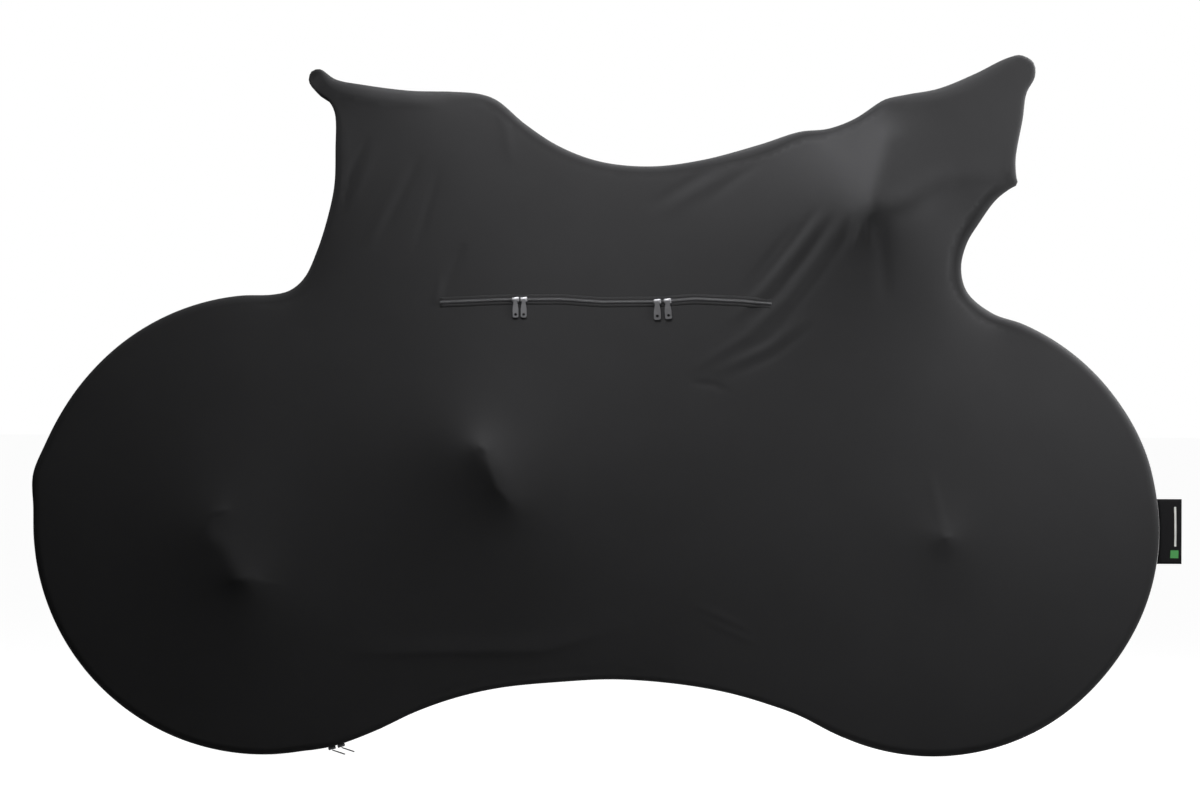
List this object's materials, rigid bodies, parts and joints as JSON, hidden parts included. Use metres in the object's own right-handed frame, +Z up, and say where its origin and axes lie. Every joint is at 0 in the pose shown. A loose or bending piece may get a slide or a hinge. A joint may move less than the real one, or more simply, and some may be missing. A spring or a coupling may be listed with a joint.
{
  "type": "fitted bicycle cover",
  "caption": "Stretch-knit cover in the shape it takes over a drop-bar bicycle, with a side zip, a belly zip and a folded ribbon loop on its front edge.",
  "frame": {"origin": "the point under the top of the cover on which the saddle holds it up", "axes": "+X forward along the bicycle, +Z up, +Y to the bicycle's left, which is the side away from the zip"},
  "size_m": [1.7013, 0.4202, 1.0267],
  "materials": {
    "knit": "matt black stretch knit",
    "zip": "woven tape with a coil",
    "metal": "gunmetal",
    "ribbon": "smooth woven ribbon"
  },
  "bodies": {
    "root": {"side_panel_near": "knit", "side_panel_far": "knit", "side_zip": "zip", "belly_zip": "zip", "side_zip_slider_1": "metal", "side_zip_slider_2": "metal", "side_zip_slider_3": "metal", "side_zip_slider_4": "metal", "side_zip_pull_1": "metal", "side_zip_pull_2": "metal", "side_zip_pull_3": "metal", "side_zip_pull_4": "metal", "belly_zip_slider_1": "metal", "belly_zip_slider_2": "metal", "belly_zip_pull_1": "metal", "belly_zip_pull_2": "metal", "label_loop": "ribbon"}
  },
  "joints": []
}
